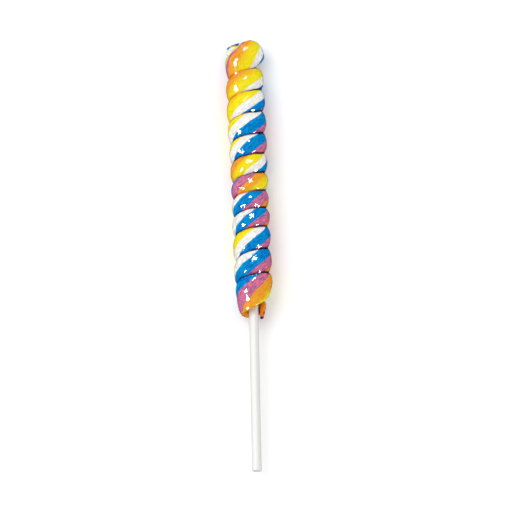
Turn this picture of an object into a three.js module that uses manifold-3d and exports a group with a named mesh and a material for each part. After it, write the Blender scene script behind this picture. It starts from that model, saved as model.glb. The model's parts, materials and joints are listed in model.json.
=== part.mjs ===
// Swirl lollipop: one striped hard-candy rope wound round a plain white stick.
// Millimetres, +Z up. The lollipop lies on its side: the stick runs along Y with the candy's head
// at +Y, and the candy rests on small flats at z = 0.
import * as THREE from 'three';
import { mergeVertices } from 'three/addons/utils/BufferGeometryUtils.js';
import Module from 'manifold-3d';

const wasm = await Module();
wasm.setup();

// Stick
const STICK_RADIUS = 1.95;
const STICK_TOP = 164.5; // the stick's hidden end, measured from its free end
const STICK_EDGE = 0.25; // bevel on both cut ends
const STICK_SIDES = 20;
const STICK_RINGS = 8; // rings along the part of the stick that the candy hides

// Rope path. A turn number counts once round the stick; at a whole number the rope faces up (+Z)
// and a quarter later it faces +X. Heights are measured along the stick from its free end.
const FIRST_TURN = 0.1; // tip of the thin tail, beside the stick
const LAST_TURN = 12.74; // cut end of the rope, at the back of the head
const FOOT_HEIGHT = 74.7; // height of the rope's middle at turn 1
const TURN_RISES = [11.0, 10.0, 8.6, 7.8, 7.3, 7.8, 8.1, 8.8, 9.1, 9.0]; // turn 1 to turn 11
const TAIL_DROPS = [[0.1, -9.9], [0.25, -6.4], [0.4, -5.2], [0.65, -4.3]]; // below turn 1
const FOOT_RISE = [1.25, 3.8]; // the foot's turn climbs quickly after it clears the stick
const HEAD_RISES = [
  [11.5, 4.3], [11.75, 6.5], [12, 10.3], [12.12, 12.3], [12.25, 13.5], [12.5, 15.2], [12.74, 14.3],
];
const TAIL_LAG = [[0.1, 0.27], [0.25, 0.29], [0.4, 0.4], [0.5, 0.5]]; // the tail stops turning

// Rope section: its outer and inner distance from the axis, and half its height along the stick
const OUTER_RADII = [
  [0.1, 3.9], [0.25, 4.9], [0.4, 6.1], [0.7, 6.7], [1, 7.5], [2, 7.7], [5, 7.55], [7, 7.6],
  [9, 7.85], [10, 7.85], [11, 7.7], [11.75, 7.45], [12, 7.0], [12.25, 8.2], [12.5, 7.45], [12.74, 7.0],
];
const INNER_RADII = [[11.75, 2.4], [12, 0.65], [12.25, -0.25], [12.5, 0.2], [12.74, 0.7]];
const FULLNESS = 0.55; // half height as a share of the turn's rise, so that neighbours fuse
const TAIL_HALF_HEIGHTS = [
  [0.1, 1.2], [0.25, 2.0], [0.4, 3.3], [0.55, 4.4], [0.7, 5.5], [0.85, 6.9], [1, 6.3],
  [1.25, 4.9], [1.5, 5.4],
];
const HEAD_HALF_HEIGHTS = [
  [11.5, 4.9], [12, 5.5], [12.12, 5.6], [12.25, 5.0], [12.5, 3.9], [12.74, 2.7],
];
// How much fuller the rope's outside is above its middle than below it: at the foot and head only
const LEAN = [
  [0.5, 0], [0.7, 0.25], [0.85, 0.5], [1, 0.5], [1.25, 0.2], [1.5, 0], [2, 0], [11, 0],
  [11.5, 0], [11.75, 0.5], [11.95, 0.5], [12.12, 0], [12.25, -0.25], [12.4, 0], [12.74, 0],
];
const ROPE_OFFSET = 0.15; // the rope sits slightly to +X of the stick's axis
const FACET_ALLOWANCE = 0.1; // added outside, as flat facets cut inside the true curve
const INNER_SQUARENESS = 0.6; // below 1, the side against the stick is flatter than an ellipse
const STEPS_PER_TURN = 20;
const PIECE_STEPS = 7; // steps in each length that is joined on, under half a turn
const SECTION_SIDES = 14;
const END_DOME = 1.0; // how far each rounded end stands out
const DOME_RINGS = 3;

// The whole candy leans gently to -X towards its head, and the stick inside follows it.
const BEND_START = 71.5;
const BEND_END = 180.5;
const BEND_SHIFT = 2.35;
const BEND_POWER = 1.35;

const REST_CUT = 0.35; // depth of the flats on the underside, below the fattest turn

/** Smooth curve through [position, value] pairs, level with its end values outside them. */
function through(pairs, x) {
  const last = pairs.length - 1;
  if (x <= pairs[0][0]) return pairs[0][1];
  if (x >= pairs[last][0]) return pairs[last][1];
  const i = pairs.findIndex((pair) => pair[0] > x) - 1;
  const slope = (k) => {
    const a = pairs[Math.max(k - 1, 0)];
    const b = pairs[Math.min(k + 1, last)];
    return (b[1] - a[1]) / (b[0] - a[0]);
  };
  const [x0, y0] = pairs[i];
  const [x1, y1] = pairs[i + 1];
  const width = x1 - x0;
  const t = (x - x0) / width;
  return (2 * t ** 3 - 3 * t ** 2 + 1) * y0 + (t ** 3 - 2 * t ** 2 + t) * width * slope(i)
    + (3 * t ** 2 - 2 * t ** 3) * y1 + (t ** 3 - t ** 2) * width * slope(i + 1);
}

/** Heights of the rope's middle at every whole turn and at the shaped ends. */
function heightPairs() {
  const pairs = [[1, FOOT_HEIGHT]];
  TURN_RISES.forEach((rise, k) => pairs.push([k + 2, pairs[k][1] + rise]));
  const headHeight = pairs[pairs.length - 1][1];
  const tail = TAIL_DROPS.map(([turn, drop]) => [turn, FOOT_HEIGHT + drop]);
  const head = HEAD_RISES.map(([turn, rise]) => [turn, headHeight + rise]);
  pairs.splice(1, 0, [FOOT_RISE[0], FOOT_HEIGHT + FOOT_RISE[1]]);
  return [...tail, ...pairs, ...head];
}

const HEIGHTS = heightPairs();

function bend(height) {
  const share = Math.max((height - BEND_START) / (BEND_END - BEND_START), 0);
  return -BEND_SHIFT * share ** BEND_POWER;
}

function halfHeight(turn) {
  if (turn < 1.5) return through(TAIL_HALF_HEIGHTS, turn);
  if (turn > 11.5) return through(HEAD_HALF_HEIGHTS, turn);
  const rise = through(HEIGHTS, turn + 0.5) - through(HEIGHTS, turn - 0.5);
  return FULLNESS * rise;
}

function ropeMiddle(turn) {
  const angle = 2 * Math.PI * (turn < 0.5 ? through(TAIL_LAG, turn) : turn);
  const outer = through(OUTER_RADII, turn) + FACET_ALLOWANCE;
  const inner = through(INNER_RADII, turn);
  const radius = (outer + inner) / 2;
  const height = through(HEIGHTS, turn);
  const middle = new THREE.Vector3(
    radius * Math.sin(angle) + bend(height) + ROPE_OFFSET,
    height,
    radius * Math.cos(angle),
  );
  return { middle, angle, halfDepth: (outer - inner) / 2 };
}

/** One cross-section of the rope; scale shrinks it and slide moves it along, for the domed ends. */
function ropeSection(turn, scale = 1, slide = 0) {
  const { middle, angle, halfDepth } = ropeMiddle(turn);
  const step = 0.01;
  const along = ropeMiddle(turn + step).middle.sub(ropeMiddle(turn - step).middle).normalize();
  const outward = new THREE.Vector3(Math.sin(angle), 0, Math.cos(angle));
  outward.addScaledVector(along, -outward.dot(along)).normalize();
  const upward = new THREE.Vector3().crossVectors(outward, along).normalize();
  const high = halfHeight(turn) * scale;
  const deep = halfDepth * scale;
  const lean = through(LEAN, turn);
  const ring = [];
  for (let k = 0; k < SECTION_SIDES; k += 1) {
    const around = (2 * Math.PI * (k + 0.5)) / SECTION_SIDES;
    const c = Math.cos(around);
    const s = Math.sin(around);
    const power = c < 0 ? INNER_SQUARENESS : 1;
    const round = Math.sign(c) * Math.abs(c) ** power;
    const up = Math.sign(s) * Math.abs(s) ** power * high;
    const out = (round + lean * up / high * Math.max(c, 0)) * deep;
    ring.push(
      middle.clone()
        .addScaledVector(outward, out)
        .addScaledVector(upward, up)
        .addScaledVector(along, slide),
    );
  }
  return ring;
}

/** Closed solid skinned over rings of equally many points, with a fan over each end ring. */
function skin(rings) {
  const count = rings[0].length;
  const points = rings.flat();
  const centre = (ring) => ring
    .reduce((sum, point) => sum.add(point), new THREE.Vector3())
    .divideScalar(count);
  const first = points.length;
  points.push(centre(rings[0]), centre(rings[rings.length - 1]));
  const index = [];
  for (let r = 0; r + 1 < rings.length; r += 1) {
    for (let k = 0; k < count; k += 1) {
      const a = r * count + k;
      const b = r * count + ((k + 1) % count);
      index.push(a, a + count, b, b, a + count, b + count);
    }
  }
  const end = (rings.length - 1) * count;
  for (let k = 0; k < count; k += 1) {
    const next = (k + 1) % count;
    index.push(first, k, next, first + 1, end + next, end + k);
  }
  const geometry = new THREE.BufferGeometry();
  geometry.setAttribute('position', new THREE.BufferAttribute(
    new Float32Array(points.flatMap((point) => point.toArray())),
    3,
  ));
  geometry.setIndex(index);
  return geometry;
}

function toSolid(geometry) {
  const plain = geometry.clone();
  plain.deleteAttribute('normal');
  plain.deleteAttribute('uv');
  const merged = mergeVertices(plain, 1e-4);
  return new wasm.Manifold(new wasm.Mesh({
    numProp: 3,
    vertProperties: new Float32Array(merged.attributes.position.array),
    triVerts: new Uint32Array(merged.index.array),
  }));
}

function toGeometry(solid) {
  const mesh = solid.getMesh();
  const geometry = new THREE.BufferGeometry();
  geometry.setAttribute('position', new THREE.BufferAttribute(new Float32Array(mesh.vertProperties), 3));
  geometry.setIndex(Array.from(mesh.triVerts));
  return geometry;
}

/** The rope in short lengths, so that no length meets itself, joined into one fused solid. */
function candyRope() {
  const steps = Math.round((LAST_TURN - FIRST_TURN) * STEPS_PER_TURN);
  const turnAt = (k) => FIRST_TURN + ((LAST_TURN - FIRST_TURN) * k) / steps;
  const rings = [];
  for (let k = 0; k <= steps; k += 1) rings.push(ropeSection(turnAt(k)));
  const dome = (turn, way) => Array.from({ length: DOME_RINGS }, (_, k) => {
    const lift = (((k + 1) / (DOME_RINGS + 0.5)) * Math.PI) / 2;
    return ropeSection(turn, Math.cos(lift), way * END_DOME * Math.sin(lift));
  });
  let rope = null;
  for (let start = 0; start < steps; start += PIECE_STEPS) {
    const stop = Math.min(start + PIECE_STEPS, steps);
    const part = rings.slice(start, stop + 1);
    if (start === 0) part.unshift(...dome(FIRST_TURN, -1).reverse());
    if (stop === steps) part.push(...dome(LAST_TURN, 1));
    const piece = toSolid(skin(part));
    rope = rope ? rope.add(piece) : piece;
  }
  return rope;
}

function stickSolid() {
  const hidden = STICK_TOP - BEND_START;
  const levels = [[0, STICK_RADIUS - STICK_EDGE], [STICK_EDGE, STICK_RADIUS]];
  for (let k = 0; k <= STICK_RINGS; k += 1) {
    const height = BEND_START + (hidden * k) / STICK_RINGS;
    levels.push([k === STICK_RINGS ? height - STICK_EDGE : height, STICK_RADIUS]);
  }
  levels.push([STICK_TOP, STICK_RADIUS - STICK_EDGE]);
  const rings = levels.map(([height, radius]) => Array.from({ length: STICK_SIDES }, (_, k) => {
    const angle = (-2 * Math.PI * k) / STICK_SIDES;
    return new THREE.Vector3(
      radius * Math.sin(angle) + bend(height),
      height,
      radius * Math.cos(angle),
    );
  }));
  return toSolid(skin(rings));
}

/** Cuts away everything below a level plane. */
function cutBelow(solid, level) {
  const box = new THREE.BoxGeometry(60, 400, 20);
  box.translate(0, 100, level - 10);
  return solid.subtract(toSolid(box));
}

/** Drops the crumbs that a join can leave. */
function largestPiece(solid) {
  return solid.decompose().sort((a, b) => b.volume() - a.volume())[0];
}

const stick = stickSolid();
const whole = candyRope();
const lowest = whole.boundingBox().min[2];
const candy = largestPiece(cutBelow(whole, lowest + REST_CUT));

const parts = [
  ['swirl_candy', candy, { color: 0xf2a32c, roughness: 0.15, metalness: 0 }],
  ['stick', stick, { color: 0xf4f3f0, roughness: 0.5, metalness: 0 }],
];

const group = new THREE.Group();
parts.forEach(([name, solid, look]) => {
  const mesh = new THREE.Mesh(toGeometry(solid), new THREE.MeshStandardMaterial(look));
  mesh.name = name;
  group.add(mesh);
});

// Origin under the middle of the lollipop, on the surface that it rests on
const box = new THREE.Box3().setFromObject(group);
const middle = box.getCenter(new THREE.Vector3());
group.children.forEach((mesh) => mesh.geometry.translate(-middle.x, -middle.y, -box.min.z));

export default group;
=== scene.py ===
"""Swirl lollipop: a striped hard-candy rope wound round a white stick, lying on a pale floor."""

import json
from math import cos, pi, radians, sin

import bmesh
import bpy
import numpy as np
from mathutils import Matrix, Vector
from mathutils.kdtree import KDTree

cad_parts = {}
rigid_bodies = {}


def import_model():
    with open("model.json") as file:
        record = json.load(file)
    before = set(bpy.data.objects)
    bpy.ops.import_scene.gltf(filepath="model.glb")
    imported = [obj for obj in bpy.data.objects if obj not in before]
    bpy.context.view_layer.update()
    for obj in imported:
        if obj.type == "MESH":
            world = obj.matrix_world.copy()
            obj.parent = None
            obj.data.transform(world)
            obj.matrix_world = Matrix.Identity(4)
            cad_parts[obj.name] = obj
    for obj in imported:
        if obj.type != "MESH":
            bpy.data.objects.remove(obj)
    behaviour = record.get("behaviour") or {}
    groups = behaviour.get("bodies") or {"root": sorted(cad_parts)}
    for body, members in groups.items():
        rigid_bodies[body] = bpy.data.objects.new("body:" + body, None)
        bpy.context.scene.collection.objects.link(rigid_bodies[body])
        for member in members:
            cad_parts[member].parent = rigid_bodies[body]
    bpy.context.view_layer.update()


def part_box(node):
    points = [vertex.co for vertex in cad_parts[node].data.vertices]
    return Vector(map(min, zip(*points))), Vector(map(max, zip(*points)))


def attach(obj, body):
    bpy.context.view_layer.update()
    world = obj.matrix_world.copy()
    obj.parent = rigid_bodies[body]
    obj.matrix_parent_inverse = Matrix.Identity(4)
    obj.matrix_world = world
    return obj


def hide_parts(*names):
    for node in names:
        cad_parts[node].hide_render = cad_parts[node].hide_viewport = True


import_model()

MM = 0.001

# ---------------------------------------------------------------- the rope's path, as in the CAD
# Heights and distances are in mm from the stick's free end and axis. A whole turn number faces up.
# A list of pairs gives a value at certain turns, with a smooth curve between them.
STICK_RADIUS = 1.95
STICK_TOP = 164.5
FIRST_TURN, LAST_TURN = 0.1, 12.74
FOOT_TURN, HEAD_TURN = 1.5, 11.5  # the foot's lobe ends and the head's begins here
FOOT_HEIGHT = 74.7
TURN_RISES = [11.0, 10.0, 8.6, 7.8, 7.3, 7.8, 8.1, 8.8, 9.1, 9.0]
TAIL_DROPS = [(0.1, -9.9), (0.25, -6.4), (0.4, -5.2), (0.65, -4.3)]
FOOT_RISE = (1.25, 3.8)
HEAD_RISES = [
    (11.5, 4.3), (11.75, 6.5), (12, 10.3), (12.12, 12.3),
    (12.25, 13.5), (12.5, 15.2), (12.74, 14.3),
]
TAIL_END_TURN = 0.5  # up to here the tail hangs back behind its own turn
TAIL_LAG = [(0.1, 0.27), (0.25, 0.29), (0.4, 0.4), (0.5, 0.5)]
OUTER_RADII = [
    (0.1, 3.9), (0.25, 4.9), (0.4, 6.1), (0.7, 6.7), (1, 7.5), (2, 7.7), (5, 7.55), (7, 7.6),
    (9, 7.85), (10, 7.85), (11, 7.7), (11.75, 7.45), (12, 7.0), (12.25, 8.2), (12.5, 7.45),
    (12.74, 7.0),
]
INNER_RADII = [(11.75, 2.4), (12, 0.65), (12.25, -0.25), (12.5, 0.2), (12.74, 0.7)]
FULLNESS = 0.55  # half the rope's height, as a share of the rise from turn to turn
TAIL_HALF_HEIGHTS = [
    (0.1, 1.2), (0.25, 2.0), (0.4, 3.3), (0.55, 4.4), (0.7, 5.5), (0.85, 6.9), (1, 6.3),
    (1.25, 4.9), (1.5, 5.4),
]
HEAD_HALF_HEIGHTS = [(11.5, 4.9), (12, 5.5), (12.12, 5.6), (12.25, 5.0), (12.5, 3.9), (12.74, 2.7)]
# How much fuller the outside is above its middle than below it
LEAN = [
    (0.5, 0.0), (0.7, 0.25), (0.85, 0.5), (1, 0.5), (1.25, 0.2), (1.5, 0.0), (2, 0.0),
    (11, 0.0), (11.5, 0.0), (11.75, 0.5), (11.95, 0.5), (12.12, 0.0), (12.25, -0.25),
    (12.4, 0.0), (12.74, 0.0),
]
ROPE_OFFSET = 0.15  # the rope sits slightly to +X of the stick's axis
INNER_SQUARENESS = 0.6  # power that squares the section beside the stick, where 1 is round
BEND_START, BEND_END = 71.5, 180.5
BEND_SHIFT, BEND_POWER = 2.35, 1.35  # how far to -X at the end, and how late it sets in
END_DOME = 1.0  # how far the rope's cut ends bulge

# ---------------------------------------------------------------- low relief
# Unevenness of the pulled rope, as waves: size in mm, waves round the girth, radians for each
# turn, and starting phase.
FLUTES = [(0.035, 5, 3.1, 0.4), (0.03, 8, -5.3, 2.0), (0.018, 13, 9.7, 1.1)]
SWELLS = [(0.04, 2, 21.3, 0.0), (0.03, 3, -34.7, 0.7), (0.02, 4, 57.1, 2.6)]

# ---------------------------------------------------------------- the stripes
# Which colour faces outward at each turn, counted in stripes: 0 orange, 1 yellow, 2 white,
# 3 blue, 4 purple, and so on round again. The rope is twisted about once for each turn it makes.
STRIPES = 5
STRIPE_AT = [
    (0.1, -58.7), (0.3, -58.0), (0.6, -57.1), (1, -55.9), (1.25, -54.85), (1.75, -53.0),
    (2, -52.0), (3, -47.6), (4, -42.0), (5, -36.75), (6, -30.2), (7, -23.9), (8, -17.4),
    (9, -12.6), (10, -8.3), (11, -4.0), (11.7, -1.05), (12, 0.5), (12.25, 1.7), (12.5, 2.6),
    (12.74, 3.3),
]
# How far each stripe's edge strays from even spacing, in stripes, along the turns
ORANGE_EDGE_SHIFTS = [
    (0.85, 0.4), (0.93, -0.2), (0.98, -0.27), (1.03, -0.26), (1.15, -0.15), (2, 0.0),
    (5, 0.05), (9, 0.1), (10, 0.3), (11, 0.3), (12, 0.0), (12.25, -0.2),
]
YELLOW_EDGE_SHIFTS = [
    (0.75, -0.35), (2, 0.0), (3, 0.35), (3.5, 0.0), (3.8, -0.4), (4, -0.2), (4.3, 0.0),
    (7, 0.05), (9, 0.15), (11, 0.15), (12, -0.1), (12.15, -0.35), (12.3, -0.8),
]
WHITE_EDGE_SHIFTS = [
    (0.75, -0.1), (0.95, 0.1), (1.25, 0.3), (2, 0.0), (4, 0.0), (7, -0.2), (9, -0.1),
    (11, -0.15), (12, -0.2), (12.1, -0.3), (12.2, -0.65), (12.3, -1.1),
]
BLUE_EDGE_SHIFTS = [
    (0.75, -0.1), (1.25, 0.1), (3, -0.1), (6, 0.1), (9, -0.1), (10, -0.35), (11, -0.3), (12, 0.0),
]
PURPLE_EDGE_SHIFTS = [
    (0.6, -0.5), (0.72, -0.15), (0.79, 0.0), (0.84, -0.2), (0.95, -0.1), (1.25, -0.25),
    (3, -0.1), (7, 0.1), (8, -0.1), (11, 0.05), (11.8, 0.12), (11.9, 0.06), (11.98, 0.19),
    (12.05, 0.35), (12.12, 0.48),
]
EDGE_SHIFTS = [
    ORANGE_EDGE_SHIFTS, YELLOW_EDGE_SHIFTS, WHITE_EDGE_SHIFTS, BLUE_EDGE_SHIFTS,
    PURPLE_EDGE_SHIFTS,
]

# ---------------------------------------------------------------- mesh fineness
RINGS_PER_TURN = 100
SIDES = 60
AROUND = -pi + 2 * pi * np.arange(SIDES) / SIDES  # 0 is the outermost side
GIRTH_POINTS = 181
SMALL_TURN = 0.01  # half the step over which the rope's direction is taken
DOME_RINGS = 6
PIECE_RINGS = 35  # rings in each of the joined lengths
TONGUE = 0.012  # turns between the rings of the tongue that ties one length of rope to the last
TONGUE_SIZES = (0.8, 0.9)  # of the tongue's two rings
SAME_POINT = 2e-6  # m, below which two points are one
CRUMB = 1e-6  # m, below which an edge is dropped
CREASE_ANGLE = radians(24)
CREASE_REACH = 3.0  # mm, beyond which a point counts as clear of every crease
STICK_SIDES = 72
STICK_RINGS = 60
STICK_PLAIN_END = 4.0  # mm, from each end to the first of those rings
CUT_ROUNDING = 0.3  # mm, at the edges of the stick's cuts
CUT_RINGS = 6


# ---------------------------------------------------------------- helpers
def add_object(name, data):
    thing = bpy.data.objects.new(name, data)
    bpy.context.scene.collection.objects.link(thing)
    return thing


def unit(v):
    return v / np.linalg.norm(v, axis=-1, keepdims=True)


def dot(a, b):
    return (a * b).sum(-1, keepdims=True)


def through(pairs, x):
    """Smooth curve through (position, value) pairs, level outside them."""
    knots = np.array(pairs, float)
    px, py = knots[:, 0], knots[:, 1]
    slope = np.empty(len(px))
    slope[1:-1] = (py[2:] - py[:-2]) / (px[2:] - px[:-2])
    slope[0] = (py[1] - py[0]) / (px[1] - px[0])
    slope[-1] = (py[-1] - py[-2]) / (px[-1] - px[-2])
    x = np.clip(np.asarray(x, float), px[0], px[-1])
    i = np.clip(np.searchsorted(px, x, side="right") - 1, 0, len(px) - 2)
    w = px[i + 1] - px[i]
    t = (x - px[i]) / w
    return (
        (2 * t**3 - 3 * t**2 + 1) * py[i]
        + (t**3 - 2 * t**2 + t) * w * slope[i]
        + (3 * t**2 - 2 * t**3) * py[i + 1]
        + (t**3 - t**2) * w * slope[i + 1]
    )


# ---------------------------------------------------------------- path and sections
def height_pairs():
    """The height of the rope's middle at certain turns, from the tail to the head."""
    pairs = [(1.0, FOOT_HEIGHT)]
    for k, rise in enumerate(TURN_RISES):
        pairs.append((k + 2.0, pairs[-1][1] + rise))
    top = pairs[-1][1]
    pairs.insert(1, (FOOT_RISE[0], FOOT_HEIGHT + FOOT_RISE[1]))
    tail = [(turn, FOOT_HEIGHT + drop) for turn, drop in TAIL_DROPS]
    return tail + pairs + [(turn, top + rise) for turn, rise in HEAD_RISES]


HEIGHTS = height_pairs()


def bend(height):
    """How far the candy and the stick inside it are bent aside along X at a height."""
    share = np.clip((height - BEND_START) / (BEND_END - BEND_START), 0, None)
    return -BEND_SHIFT * share**BEND_POWER


def half_height(turn):
    """Half the height of the rope's section."""
    rise = through(HEIGHTS, turn + 0.5) - through(HEIGHTS, turn - 0.5)
    in_foot = turn < FOOT_TURN
    ends = np.where(in_foot, through(TAIL_HALF_HEIGHTS, turn), through(HEAD_HALF_HEIGHTS, turn))
    return np.where(in_foot | (turn > HEAD_TURN), ends, FULLNESS * rise)


def rope_middle(turn):
    """The middle of the rope's section, its angle round the stick, and half its depth."""
    lagging = through(TAIL_LAG, turn)
    angle = 2 * pi * np.where(turn < TAIL_END_TURN, lagging, turn)
    outer = through(OUTER_RADII, turn)
    inner = through(INNER_RADII, turn)
    radius = (outer + inner) / 2
    height = through(HEIGHTS, turn)
    x = radius * np.sin(angle) + bend(height) + ROPE_OFFSET
    middle = np.stack([x, height, radius * np.cos(angle)], -1)
    return middle, angle, (outer - inner) / 2


def share_of_girth(deep, high):
    """Distance round each section from its outermost point, in share of half its girth, signed."""
    fine = np.linspace(0, pi, GIRTH_POINTS)
    speed = np.hypot(deep[:, None] * np.sin(fine), high[:, None] * np.cos(fine))
    run = np.cumsum((speed[:, 1:] + speed[:, :-1]) / 2, axis=1)
    run = np.concatenate([np.zeros((len(deep), 1)), run], 1)
    run /= run[:, -1:]
    out = np.empty((len(deep), SIDES))
    for row in range(len(deep)):
        out[row] = np.sign(AROUND) * np.interp(np.abs(AROUND), fine, run[row])
    return out


def stripe_coordinate(turn, count):
    """Share of a full round of stripes, with every stripe's edge at its own even place."""
    out = np.empty_like(count)
    even = np.arange(STRIPES + 1) + 0.5
    shifts = np.stack([through(pairs, turn) for pairs in EDGE_SHIFTS], 1)
    for row in range(len(turn)):
        edges = even + np.append(shifts[row], shifts[row, 0])
        rounds = np.floor((count[row] - edges[0]) / STRIPES)
        out[row] = np.interp(count[row] - rounds * STRIPES, edges, even) + rounds * STRIPES
    return out / STRIPES


def waves(kinds, turn, twist):
    """The sum of some waves that run round and along the rope, in mm."""
    angle = 2 * pi * twist
    return sum(
        size * np.sin(number * angle + run * turn[:, None] + start)
        for size, number, run, start in kinds
    )


def section_axes(turn, angle):
    """Unit vectors along the rope, outward from the stick, and up across the rope."""
    along = unit(rope_middle(turn + SMALL_TURN)[0] - rope_middle(turn - SMALL_TURN)[0])
    outward = np.stack([np.sin(angle), 0 * angle, np.cos(angle)], -1)
    outward = unit(outward - dot(outward, along) * along)
    return along, outward, unit(np.cross(outward, along))


def sections(turn, scale=None, slide=None):
    """Points of the rope's cross-sections, and the stripe coordinate at each point.

    With scale each section is smaller, and with slide it moves along the rope by so many mm.
    """
    middle, angle, deep = rope_middle(turn)
    along, outward, upward = section_axes(turn, angle)
    high = half_height(turn)
    twist = through(STRIPE_AT, turn)[:, None] / STRIPES - share_of_girth(deep, high) / 2
    wave = waves(FLUTES, turn, twist) + waves(SWELLS, turn, twist)
    twist = stripe_coordinate(turn, twist * STRIPES)
    if scale is not None:
        deep, high, wave = deep * scale, high * scale, wave * scale[:, None]
    c, s = np.cos(AROUND), np.sin(AROUND)
    power = np.where(c < 0, INNER_SQUARENESS, 1.0)
    out = np.sign(c) * np.abs(c) ** power
    out = out + through(LEAN, turn)[:, None] * s * np.clip(c, 0, None)
    up = np.sign(s) * np.abs(s) ** power
    points = (
        middle[:, None]
        + (deep[:, None] * out + wave * c)[..., None] * outward[:, None]
        + (high[:, None] * up + wave * s)[..., None] * upward[:, None]
    )
    if slide is not None:
        points = points + (slide[:, None] * along)[:, None]
    return points, twist


def to_row(points):
    """From the path's frame in mm to the row's frame in metres."""
    low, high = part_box("stick")
    axis_x = high[0] - STICK_RADIUS * MM
    origin = np.array([axis_x, low[1], (low[2] + high[2]) / 2])
    return points * MM + origin


# ---------------------------------------------------------------- candy
def dome(end, way):
    """Rings that round off a cut end of the rope. Their turns run on past the end."""
    ring = np.arange(1, DOME_RINGS + 1)
    lift = ring / (DOME_RINGS + 0.5) * pi / 2
    slide = way * END_DOME * np.sin(lift)
    points, twist = sections(np.full(DOME_RINGS, end), np.cos(lift), slide)
    turn = end + way * ring / (DOME_RINGS + 1)
    return points[::way], twist[::way], turn[::way]


def tongue(turn):
    """Smaller rings before a length of rope, which tie it into the length before it."""
    back = turn - np.array([2, 1]) * TONGUE
    points, twist = sections(back, np.array(TONGUE_SIZES))
    return points, twist, back


def rope_lengths():
    """The rope in lengths that reach into each other, as (points, stripe coordinates, turns)."""
    steps = round((LAST_TURN - FIRST_TURN) * RINGS_PER_TURN)
    turn = np.linspace(FIRST_TURN, LAST_TURN, steps + 1)
    rope = (*sections(turn), turn)
    for start in range(0, steps, PIECE_RINGS):
        stop = min(start + PIECE_RINGS, steps)
        before = tongue(turn[start]) if start else dome(FIRST_TURN, -1)
        parts = [before, [values[start:stop + 1] for values in rope]]
        if stop == steps:
            parts.append(dome(LAST_TURN, 1))
        yield [np.concatenate(values) for values in zip(*parts)]


def rope_mesh(points, twist, turn):
    """One length of rope as a closed mesh, with (stripe coordinate, turn) as its UV."""
    rings = len(points)
    verts = [points.reshape(-1, 3), points[0].mean(0)[None], points[-1].mean(0)[None]]
    here = np.arange(SIDES)
    beside = (here + 1) % SIDES
    row = np.arange(rings - 1)[:, None] * SIDES
    quads = [row + here, row + SIDES + here, row + SIDES + beside, row + beside]
    quads = np.stack(quads, -1).reshape(-1, 4)
    # The stripe coordinate runs on past the seam, one round lower.
    step = np.concatenate([twist, twist[:, :1] - 1], 1)
    u = np.stack([step[:-1, :-1], step[1:, :-1], step[1:, 1:], step[:-1, 1:]], -1)
    v = np.stack([turn[:-1], turn[1:], turn[1:], turn[:-1]], -1)[:, None, :] + 0 * u
    quad_uv = np.stack([u, v], -1).reshape(-1, 2)
    # A fan closes each end.
    fans, fan_uv = [], []
    for ring, inner, way in ((0, 1, 1), (rings - 1, rings - 2, -1)):
        centre = rings * SIDES + (0 if way == 1 else 1)
        tip = 2 * turn[ring] - turn[inner]
        for a, b in zip(here, beside):
            fans.append((centre, *[int(ring * SIDES + k) for k in (a, b)[::way]]))
            ends = [step[ring, a], step[ring, a + 1]]
            fan_uv.append((sum(ends) / 2, tip))
            fan_uv += [(end, turn[ring]) for end in ends[::way]]
    mesh = bpy.data.meshes.new("rope_part")
    mesh.from_pydata(np.concatenate(verts).tolist(), [], quads.tolist() + fans)
    layer = mesh.uv_layers.new(name="Stripes")
    uv = np.concatenate([quad_uv, np.array(fan_uv)]).astype(np.float32)
    layer.data.foreach_set("uv", uv.ravel())
    return mesh


def united(meshes):
    """One mesh of closed meshes that overlap."""
    base = add_object("rope_part", meshes[0])
    operands = bpy.data.collections.new("operands")
    for mesh in meshes[1:]:
        operands.objects.link(bpy.data.objects.new("rope_part", mesh))
    bpy.context.scene.collection.children.link(operands)
    join = base.modifiers.new("join", "BOOLEAN")
    join.operation, join.solver = "UNION", "MANIFOLD"
    join.operand_type, join.collection = "COLLECTION", operands
    graph = bpy.context.evaluated_depsgraph_get()
    mesh = bpy.data.meshes.new_from_object(base.evaluated_get(graph))
    for part in [base, *operands.objects]:
        bpy.data.objects.remove(part)
    for part_mesh in meshes:
        bpy.data.meshes.remove(part_mesh)
    bpy.data.collections.remove(operands)
    mesh.materials.clear()
    return mesh


def drop_folded(bm):
    """Deletes faces that lie back to back on the same points."""
    bm.verts.index_update()
    same = {}
    for face in bm.faces:
        same.setdefault(frozenset(v.index for v in face.verts), []).append(face)
    folded = [face for faces in same.values() if len(faces) > 1 for face in faces]
    bmesh.ops.delete(bm, geom=folded, context="FACES")


def tidy_mesh(mesh):
    """Joins the lengths' rings, drops crumbs and folded faces, and keeps the rope in its box."""
    bm = bmesh.new()
    bm.from_mesh(mesh)
    bmesh.ops.remove_doubles(bm, verts=bm.verts, dist=SAME_POINT)
    bmesh.ops.dissolve_degenerate(bm, edges=bm.edges, dist=CRUMB)
    bmesh.ops.triangulate(bm, faces=bm.faces)
    drop_folded(bm)
    bm.to_mesh(mesh)
    bm.free()
    low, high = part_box("swirl_candy")
    co = np.empty(len(mesh.vertices) * 3, np.float32)
    mesh.vertices.foreach_get("co", co)
    co = np.clip(co.reshape(-1, 3), np.array(low), np.array(high))
    mesh.vertices.foreach_set("co", co.astype(np.float32).ravel())
    mesh.update()


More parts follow.
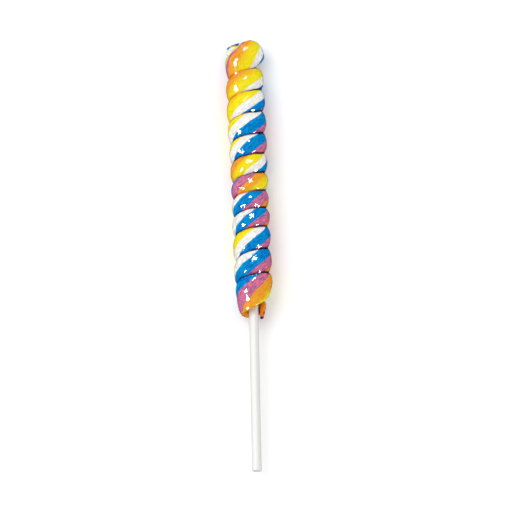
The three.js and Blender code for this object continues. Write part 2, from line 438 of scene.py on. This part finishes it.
def mark_creases(mesh):
    """Sharp edges in the grooves, and each point's distance from the nearest groove in mm."""
    bm = bmesh.new()
    bm.from_mesh(mesh)
    grooves = set()
    for edge in bm.edges:
        sharp = len(edge.link_faces) == 2 and edge.calc_face_angle_signed(0.0) < -CREASE_ANGLE
        edge.smooth = not sharp
        if sharp:
            grooves.update(v.index for v in edge.verts)
    for face in bm.faces:
        face.smooth = True
    bm.to_mesh(mesh)
    bm.free()
    tree = KDTree(len(grooves))
    for i in sorted(grooves):
        tree.insert(mesh.vertices[i].co, i)
    tree.balance()
    gap = [min(tree.find(v.co)[2] / MM, CREASE_REACH) for v in mesh.vertices]
    layer = mesh.attributes.new("groove_distance", "FLOAT", "POINT")
    layer.data.foreach_set("value", gap)


def build_candy():
    meshes = []
    for points, twist, turn in rope_lengths():
        meshes.append(rope_mesh(to_row(points), twist, turn))
    mesh = united(meshes)
    mesh.name = "candy_rope"
    tidy_mesh(mesh)
    mark_creases(mesh)
    mesh.materials.append(candy_material())
    return add_object("candy_rope", mesh)


# ---------------------------------------------------------------- stick
def build_stick():
    """The stick as one smooth solid that follows the candy's bend, with rounded cut ends."""
    corner = np.linspace(0, pi / 2, CUT_RINGS)
    cut = [(CUT_ROUNDING * (1 - cos(a)), STICK_RADIUS - CUT_ROUNDING * (1 - sin(a))) for a in corner]
    plain = np.linspace(STICK_PLAIN_END, STICK_TOP - STICK_PLAIN_END, STICK_RINGS)
    levels = cut + [(height, STICK_RADIUS) for height in plain]
    levels += [(STICK_TOP - height, radius) for height, radius in reversed(cut)]
    angle = 2 * pi * np.arange(STICK_SIDES) / STICK_SIDES
    rings = []
    for height, radius in levels:
        x = radius * np.sin(angle) + bend(np.float64(height))
        rings.append(np.stack([x, np.full(STICK_SIDES, height), radius * np.cos(angle)], -1))
    faces = []
    for low in range(0, (len(rings) - 1) * STICK_SIDES, STICK_SIDES):
        high = low + STICK_SIDES
        for k in range(STICK_SIDES):
            beside = (k + 1) % STICK_SIDES
            faces.append((low + k, low + beside, high + beside, high + k))
    faces.append(tuple(range(STICK_SIDES - 1, -1, -1)))
    faces.append(tuple(range((len(rings) - 1) * STICK_SIDES, len(rings) * STICK_SIDES)))
    mesh = bpy.data.meshes.new("stick_body")
    mesh.from_pydata(to_row(np.concatenate(rings)).tolist(), [], faces)
    for polygon in mesh.polygons:
        polygon.use_smooth = len(polygon.vertices) == 4
    mesh.materials.append(stick_material())
    return add_object("stick_body", mesh)


# ---------------------------------------------------------------- materials
class Nodes:
    """Short calls for building one material's node tree."""

    def __init__(self, name):
        self.material = bpy.data.materials.new(name)
        self.material.use_nodes = True
        self.tree = self.material.node_tree
        self.tree.nodes.clear()
        self.shader = self.add("ShaderNodeBsdfPrincipled")
        out = self.add("ShaderNodeOutputMaterial")
        self.link(self.shader.outputs[0], out.inputs[0])

    def add(self, kind, **settings):
        node = self.tree.nodes.new(kind)
        for key, value in settings.items():
            setattr(node, key, value)
        return node

    def link(self, source, socket):
        self.tree.links.new(source, socket)

    def feed(self, node, socket, value):
        if isinstance(value, bpy.types.NodeSocket):
            self.link(value, node.inputs[socket])
        elif value is not None:
            node.inputs[socket].default_value = value

    def surface(self, socket, value):
        self.feed(self.shader, socket, value)

    def place(self):
        return self.add("ShaderNodeTexCoord").outputs["Object"]

    def math(self, operation, a, b=None, c=None):
        node = self.add("ShaderNodeMath", operation=operation)
        for index, value in enumerate((a, b, c)):
            self.feed(node, index, value)
        return node.outputs[0]

    def times(self, a, b):
        return self.math("MULTIPLY", a, b)

    def rest(self, share):
        """What a share leaves of 1."""
        return self.math("SUBTRACT", 1.0, share)

    def between(self, value, low, high):
        """1 between two limits, and 0 outside them."""
        return self.times(
            self.math("GREATER_THAN", value, low), self.math("LESS_THAN", value, high)
        )

    def vector(self, x, y, z):
        node = self.add("ShaderNodeCombineXYZ")
        for index, value in enumerate((x, y, z)):
            self.feed(node, index, value)
        return node.outputs[0]

    def noise(self, place, scale, detail=2.0, roughness=0.5):
        node = self.add("ShaderNodeTexNoise", noise_dimensions="3D")
        self.feed(node, "Vector", place)
        self.feed(node, "Scale", scale)
        self.feed(node, "Detail", detail)
        self.feed(node, "Roughness", roughness)
        return node.outputs[0]

    def span(self, value, given, gives=(0.0, 1.0), smooth=False):
        """Maps the first range of values to the second, level outside it."""
        kind = "SMOOTHSTEP" if smooth else "LINEAR"
        node = self.add("ShaderNodeMapRange", interpolation_type=kind)
        for index, number in enumerate((value, *given, *gives)):
            self.feed(node, index, number)
        return node.outputs[0]

    def ramp(self, value, stops):
        node = self.add("ShaderNodeValToRGB")
        elements = node.color_ramp.elements
        while len(elements) < len(stops):
            elements.new(0.5)
        for element, (position, _) in zip(elements, stops):
            element.position = position
        for element, (_, color) in zip(elements, stops):
            element.color = (*color, 1.0)
        self.feed(node, 0, value)
        return node.outputs[0]

    def mix(self, factor, a, b, blend="MIX"):
        node = self.add("ShaderNodeMix", data_type="RGBA", blend_type=blend)
        self.feed(node, 0, factor)
        self.feed(node, 6, (*a, 1.0) if isinstance(a, tuple) else a)
        self.feed(node, 7, (*b, 1.0) if isinstance(b, tuple) else b)
        return node.outputs[2]

    def gamma(self, color, power):
        node = self.add("ShaderNodeGamma")
        self.feed(node, 0, color)
        self.feed(node, 1, power)
        return node.outputs[0]

    def bump(self, height, strength, distance):
        node = self.add("ShaderNodeBump")
        self.feed(node, "Strength", strength)
        self.feed(node, "Distance", distance)
        self.feed(node, "Height", height)
        self.surface("Normal", node.outputs[0])


def linear(r, g, b):
    """sRGB 0 to 255 to the linear colour that shaders use."""
    out = []
    for value in (r, g, b):
        s = value / 255
        out.append(s / 12.92 if s <= 0.04045 else ((s + 0.055) / 1.055) ** 2.4)
    return tuple(out)


# ---------------------------------------------------------------- candy's colours
ORANGE = linear(225, 156, 48)
YELLOW = linear(227, 216, 34)
WHITE = linear(228, 231, 229)
BLUE = linear(0, 138, 198)
PURPLE = linear(206, 108, 146)
PINK = linear(226, 84, 146)  # where the purple meets the blue
# Painted shade: darker colours for the creases between turns. The orange and the purple also give
# the tail and its tip their own colour.
CREASE_SHADE_AND_TAIL_ORANGE = linear(226, 92, 24)
CREASE_SHADE_YELLOW = linear(226, 140, 30)
CREASE_SHADE_WHITE = linear(176, 160, 150)
CREASE_SHADE_BLUE = linear(0, 16, 56)
CREASE_SHADE_AND_TIP_PURPLE = linear(78, 10, 44)
# painted shadow for the deepest creases on +X
DARK = linear(26, 8, 16)
STREAK_ORANGE = linear(221, 138, 32)
STREAK_YELLOW = linear(233, 208, 22)
STREAK_WHITE = linear(226, 216, 206)
STREAK_BLUE = linear(12, 100, 184)
STREAK_PURPLE = linear(142, 98, 122)

# Places round the rope are shares of the whole girth, from the middle of the orange stripe.
ORANGE_YELLOW, YELLOW_WHITE, WHITE_BLUE, BLUE_PURPLE, PURPLE_ORANGE = (
    (k + 0.5) / STRIPES for k in range(STRIPES)
)
YELLOW_MIDDLE = 1 / STRIPES
PINK_END = 0.73
EDGE = 0.006  # half width of a sharp stripe edge
BLEND = 0.055  # half width of the soft change from orange to yellow
CREASE_SHADE_BLEND = 0.03  # half width of the changes in the creases


def stripe_stops():
    """Colours round the rope, as ramp stops."""
    return [
        (0.0, ORANGE),
        (ORANGE_YELLOW - BLEND, ORANGE), (ORANGE_YELLOW + BLEND, YELLOW),
        (YELLOW_WHITE - EDGE, YELLOW), (YELLOW_WHITE + EDGE, WHITE),
        (WHITE_BLUE - EDGE, WHITE), (WHITE_BLUE + EDGE, BLUE),
        (BLUE_PURPLE - EDGE, BLUE), (BLUE_PURPLE + EDGE, PINK), (PINK_END, PURPLE),
        (PURPLE_ORANGE - EDGE, PURPLE), (PURPLE_ORANGE + EDGE, ORANGE),
        (1.0, ORANGE),
    ]


def painted_crease_shade_stops():
    """Painted shade colours in the creases beside each stripe, as ramp stops."""
    return [
        (0.0, CREASE_SHADE_AND_TAIL_ORANGE),
        (ORANGE_YELLOW - CREASE_SHADE_BLEND, CREASE_SHADE_AND_TAIL_ORANGE), (ORANGE_YELLOW + CREASE_SHADE_BLEND, CREASE_SHADE_YELLOW),
        (YELLOW_WHITE - CREASE_SHADE_BLEND, CREASE_SHADE_YELLOW), (YELLOW_WHITE + CREASE_SHADE_BLEND, CREASE_SHADE_WHITE),
        (WHITE_BLUE - CREASE_SHADE_BLEND, CREASE_SHADE_WHITE), (WHITE_BLUE, CREASE_SHADE_BLUE),
        (BLUE_PURPLE - CREASE_SHADE_BLEND, CREASE_SHADE_BLUE), (BLUE_PURPLE + CREASE_SHADE_BLEND, CREASE_SHADE_AND_TIP_PURPLE),
        (PURPLE_ORANGE - CREASE_SHADE_BLEND, CREASE_SHADE_AND_TIP_PURPLE), (PURPLE_ORANGE + CREASE_SHADE_BLEND, CREASE_SHADE_AND_TAIL_ORANGE),
        (1.0, CREASE_SHADE_AND_TAIL_ORANGE),
    ]


def streak_stops():
    """Colours of the fine streaks pulled along each stripe, as ramp stops."""
    return [
        (0.0, STREAK_ORANGE), (ORANGE_YELLOW, STREAK_YELLOW),
        (YELLOW_WHITE - EDGE, STREAK_YELLOW), (YELLOW_WHITE + EDGE, STREAK_WHITE),
        (WHITE_BLUE - EDGE, STREAK_WHITE), (WHITE_BLUE + EDGE, STREAK_BLUE),
        (BLUE_PURPLE - EDGE, STREAK_BLUE), (BLUE_PURPLE + EDGE, STREAK_PURPLE),
        (PURPLE_ORANGE - EDGE, STREAK_PURPLE), (PURPLE_ORANGE + EDGE, STREAK_ORANGE),
        (1.0, STREAK_ORANGE),
    ]


# ---------------------------------------------------------------- candy's material
# A fineness counts noise cells across the girth and along a turn, and a layer keeps two apart.
LINE_FINENESS, LINE_LAYER = (34.0, 13.0), 0.0
FLECK_FINENESS, FLECK_LAYER = (52.0, 30.0), 7.0
FLECK_STRENGTH, COOL_FLECK_STRENGTH = 0.1, 0.26
# A reach is where a change starts and ends, as distances from the nearest crease in mm. The
# colour near a crease is deepened as painted shade by a gamma that grows by DEEPER_GAMMA.
DEEPER_REACH, DEEPER_GAMMA = (0.0, 1.1), 0.6
# reach of the painted shade colours in the creases
CREASE_SHADE_REACH = (0.1, 0.5)
# reach of the painted dark shadow in the deepest creases on +X
DARK_REACH = (0.2, 0.8)
YELLOW_SIDE = (0.9, 1.1)  # the reach of the yellow on the head's cut end
BLUE_RIM = (0.53, 0.66)  # where round the rope its rim stays blue
CUT_MARGIN, RIM_WIDTH = 0.01, 0.45  # in the turn that runs on over the cut end
FALLING = (1.0, 0.0)  # for a share that is full at first and then fades out


# In these functions n is the material's Nodes, across is the unbroken stripe coordinate, stripe
# its fraction, and groove the distance from the nearest crease in mm.
def edge_wobble(n, place):
    """Small unevenness of the stripes' edges, slow and quick."""
    total = None
    for scale, detail, width in ((190.0, 1.0, 0.05), (900.0, 2.0, 0.014)):
        wave = n.math("MULTIPLY_ADD", n.noise(place, scale, detail), width, -width / 2)
        total = wave if total is None else n.math("ADD", total, wave)
    return total


def sharpened_yellow(n, stripe, turn):
    """The stripe fraction, with orange and yellow meeting sharply at the foot, softly higher."""
    foot_sharpness = n.span(turn, (0.9, 1.6), (6.0, 1.0))
    head_sharpness = n.span(turn, (9.0, 11.5), (1.0, 0.55))
    from_edge = n.math("SUBTRACT", stripe, ORANGE_YELLOW)
    sharpness = n.times(foot_sharpness, head_sharpness)
    near = n.math("MULTIPLY_ADD", from_edge, sharpness, ORANGE_YELLOW)
    near = n.math("MINIMUM", n.math("MAXIMUM", near, 0.0), YELLOW_MIDDLE)
    early = n.math("LESS_THAN", stripe, YELLOW_MIDDLE)
    return n.math("ADD", n.times(near, early), n.times(stripe, n.rest(early)))


def head_lip(n, across, turn):
    """The yellow stripe that begins behind the head's thin purple line and widens to the dimple."""
    line = n.span(turn, (11.8, 11.98), (-0.85 / STRIPES, -0.62 / STRIPES))
    back = n.math("SUBTRACT", line, n.span(turn, (11.72, 12.05), (0.0, 0.9)))
    return n.between(across, back, line)


def cut_end(n, stripe, turn, groove):
    """The cut end's white core, which leaves blue on its rim, and its yellow side at the head."""
    cut = n.math("GREATER_THAN", turn, LAST_TURN + CUT_MARGIN)
    rim = n.math("LESS_THAN", turn, LAST_TURN + RIM_WIDTH)
    rim = n.times(n.between(stripe, *BLUE_RIM), rim)
    beside = n.span(groove, YELLOW_SIDE, FALLING)
    return n.times(cut, n.rest(rim)), n.times(cut, beside)


def rope_noise(n, across, turn, fineness, layer, **settings):
    """Noise drawn out along the stripes, its fineness given across them and along them."""
    crosswise, lengthwise = n.times(across, fineness[0]), n.times(turn, fineness[1])
    return n.noise(n.vector(crosswise, lengthwise, layer), 1.0, **settings)


def fleck_tone(n, across, turn, stripe, lip):
    """A factor for fine light and dark flecks, strongest in the blue and the purple."""
    flecks = rope_noise(n, across, turn, FLECK_FINENESS, FLECK_LAYER)
    flecks = n.span(flecks, (0.35, 0.65), (-1.0, 1.0))
    cool = n.math("SUBTRACT", n.span(stripe, (0.34, 0.52)), n.span(stripe, (0.88, 0.92)))
    cool = n.times(cool, n.rest(lip))
    strength = n.math("MULTIPLY_ADD", cool, COOL_FLECK_STRENGTH, FLECK_STRENGTH)
    tone = n.math("ADD", n.times(flecks, strength), 1.0)
    return n.vector(tone, tone, tone)


def tail_tint(n, color, turn):
    """The tail is redder than the rest, and purple at its cut end."""
    tail = n.span(turn, (0.35, TAIL_END_TURN), (0.6, 0.0), smooth=True)
    tip = n.span(turn, (FIRST_TURN - 0.4, FIRST_TURN + 0.05), FALLING)
    return n.mix(tip, n.mix(tail, color, CREASE_SHADE_AND_TAIL_ORANGE), CREASE_SHADE_AND_TIP_PURPLE)


def crease_shade(n, color, stripe, turn, groove):
    """Painted shade: deeper colour near each crease, shade colours in it, dark shadow in the deepest
    on +X.
    """
    near = n.span(groove, DEEPER_REACH, FALLING, smooth=True)
    color = n.gamma(color, n.math("MULTIPLY_ADD", near, DEEPER_GAMMA, 1.0))
    past_tail = n.math("GREATER_THAN", turn, FIRST_TURN)
    crease_shade_share = n.span(groove, CREASE_SHADE_REACH, FALLING, smooth=True)
    color = n.mix(n.times(past_tail, crease_shade_share), color, n.ramp(stripe, painted_crease_shade_stops()))
    # Painted shadow: the deepest creases on +X go dark, where the turn above overhangs them.
    toward_x = n.math("SINE", n.times(turn, 2 * pi))
    side = n.times(past_tail, n.span(toward_x, (0.0, 0.4), (0.0, 0.9)))
    dark = n.span(groove, DARK_REACH, FALLING, smooth=True)
    return n.mix(n.times(side, dark), color, DARK)


def candy_surface(n, place, lines):
    """Glassy candy with a fine grain, rougher in patches."""
    patch = n.span(n.noise(place, 170.0, detail=1.0), (0.45, 0.7))
    grain_height = n.math("MULTIPLY_ADD", patch, 1.5, 1.0)
    grain = n.times(n.noise(place, 1000.0, detail=0.5), grain_height)
    n.bump(n.math("ADD", n.times(lines, 0.3), grain), strength=0.9, distance=0.08 * MM)
    n.surface("Roughness", n.span(n.noise(place, 600.0), (0.3, 0.7), (0.04, 0.09)))
    n.surface("IOR", 1.4)
    n.surface("Subsurface Weight", 0.12)
    n.surface("Subsurface Radius", (1.0, 0.7, 0.5))
    n.surface("Subsurface Scale", 0.8 * MM)


def candy_material():
    n = Nodes("striped_candy")
    split = n.add("ShaderNodeSeparateXYZ")
    n.feed(split, 0, n.add("ShaderNodeUVMap", uv_map="Stripes").outputs[0])
    across, turn = split.outputs[0], split.outputs[1]
    groove = n.add("ShaderNodeAttribute", attribute_name="groove_distance").outputs["Fac"]
    place = n.place()
    stripe = n.math("FRACT", n.math("ADD", across, edge_wobble(n, place)))
    lip = head_lip(n, across, turn)
    core, side = cut_end(n, stripe, turn, groove)
    color = n.ramp(sharpened_yellow(n, stripe, turn), stripe_stops())
    streak = n.ramp(stripe, streak_stops())
    color, streak = n.mix(lip, color, YELLOW), n.mix(lip, streak, STREAK_YELLOW)
    color, streak = n.mix(core, color, WHITE), n.mix(core, streak, STREAK_WHITE)
    color = n.mix(side, color, YELLOW)
    lines = rope_noise(n, across, turn, LINE_FINENESS, LINE_LAYER, detail=3.0, roughness=0.6)
    color = n.mix(n.span(lines, (0.44, 0.64)), color, streak)
    color = n.mix(1.0, color, fleck_tone(n, across, turn, stripe, lip), "MULTIPLY")
    color = tail_tint(n, color, turn)
    color = crease_shade(n, color, stripe, turn, groove)
    n.surface("Base Color", color)
    candy_surface(n, place, lines)
    return n.material


# ---------------------------------------------------------------- plain materials
def stick_material():
    n = Nodes("white_stick")
    place = n.place()
    grain = n.noise(place, 2500.0, detail=3.0)
    cloud = n.noise(place, 120.0)
    cloud_tone = n.span(cloud, (0.3, 0.7), (-0.012, 0.012))
    grain_tone = n.span(grain, (0.3, 0.7), (-0.01, 0.01))
    tone = n.math("ADD", n.math("ADD", cloud_tone, grain_tone), 0.5)
    n.surface("Base Color", n.mix(tone, linear(208, 207, 205), linear(218, 218, 217)))
    n.surface("Roughness", n.span(grain, (0.3, 0.7), (0.42, 0.58)))
    n.bump(grain, strength=0.2, distance=0.03 * MM)
    n.surface("IOR", 1.48)
    return n.material


def floor_material():
    n = Nodes("pale_floor")
    cloud = n.span(n.noise(n.place(), 3.0), (0.3, 0.7))
    n.surface("Base Color", n.mix(cloud, (0.95, 0.95, 0.95), (0.96, 0.96, 0.96)))
    n.surface("Roughness", 0.9)
    n.surface("Specular IOR Level", 0.0)
    return n.material


# ---------------------------------------------------------------- floor, camera and light
FLOOR_HALF = 6.0  # m
TILT = radians(15.5)
ROLL = radians(1.15)
PIXELS = 510
PIXELS_PER_MM = 2.475
STICK_END_PIXEL = (256.9, 471.14)
LENS, SENSOR = 1500.0, 36.0
CAMERA_REACH = 60.0  # m
LAMP_TARGET = Vector((0, 0.03, 0.007))  # m, near the candy's middle
FILL_DISTANCE, GLINT_DISTANCE = 1.6, 0.9  # m
WORLD_STRENGTH = 0.97


def build_floor():
    half = FLOOR_HALF
    corners = [(-half, -half, 0), (half, -half, 0), (half, half, 0), (-half, half, 0)]
    mesh = bpy.data.meshes.new("floor")
    mesh.from_pydata(corners, [], [(0, 1, 2, 3)])
    mesh.materials.append(floor_material())
    floor = add_object("floor", mesh)
    floor.visible_glossy = False
    return floor


def add_camera():
    """A far camera, tilted toward the head, that puts the stick's end at its pixel."""
    flat_right = Vector((1, 0, 0))
    flat_up = Vector((0, cos(TILT), sin(TILT)))
    toward = Vector((0, -sin(TILT), cos(TILT)))
    right = cos(ROLL) * flat_right - sin(ROLL) * flat_up
    up = sin(ROLL) * flat_right + cos(ROLL) * flat_up
    view_mm = PIXELS / PIXELS_PER_MM
    distance = view_mm * MM / SENSOR * LENS
    shift_x = (PIXELS / 2 - STICK_END_PIXEL[0]) / PIXELS_PER_MM * MM
    shift_y = (STICK_END_PIXEL[1] - PIXELS / 2) / PIXELS_PER_MM * MM
    stick_end = Vector(to_row(np.zeros(3)).tolist())
    target = stick_end + shift_x * right + shift_y * up
    data = bpy.data.cameras.new("camera")
    data.lens, data.sensor_width, data.clip_end = LENS, SENSOR, CAMERA_REACH
    camera = add_object("camera", data)
    facing = Matrix((right, up, toward)).transposed().to_4x4()
    camera.matrix_world = Matrix.Translation(target + distance * toward) @ facing
    bpy.context.scene.camera = camera


def add_lamp(name, direction, distance, width, height, power, glint):
    """A soft lamp that only lights the object or, as a glint, only shows on its gloss."""
    lamp = bpy.data.lights.new(name, "AREA")
    lamp.shape, lamp.size, lamp.size_y, lamp.energy = "RECTANGLE", width, height, power
    thing = add_object(name, lamp)
    away = Vector(direction).normalized()
    thing.location = LAMP_TARGET + away * distance
    thing.rotation_euler = away.to_track_quat("Z", "Y").to_euler()
    thing.visible_glossy, thing.visible_diffuse = glint, not glint


def add_world():
    world = bpy.data.worlds.new("world")
    world.use_nodes = True
    background = world.node_tree.nodes["Background"]
    background.inputs["Color"].default_value = (1, 1, 1, 1)
    background.inputs["Strength"].default_value = WORLD_STRENGTH
    world.cycles_visibility.glossy = False
    bpy.context.scene.world = world


# ---------------------------------------------------------------- build
candy = build_candy()
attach(candy, "root")
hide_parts("swirl_candy")

stick = build_stick()
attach(stick, "root")
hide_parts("stick")

floor = build_floor()

add_camera()
add_lamp("fill", (-0.45, 0.25, 0.86), FILL_DISTANCE, 1.2, 1.2, 9.0, glint=False)
add_lamp("glint_left", (-0.68, -0.29, 0.67), GLINT_DISTANCE, 0.15, 0.2, 26.0, glint=True)
add_lamp("glint_top", (0.02, 0.47, 0.88), GLINT_DISTANCE, 0.32, 0.1, 15.0, glint=True)
add_lamp("glint_right", (0.73, -0.58, 0.40), GLINT_DISTANCE, 0.2, 0.12, 12.0, glint=True)
add_world()
bpy.context.scene.view_settings.view_transform = "Standard"
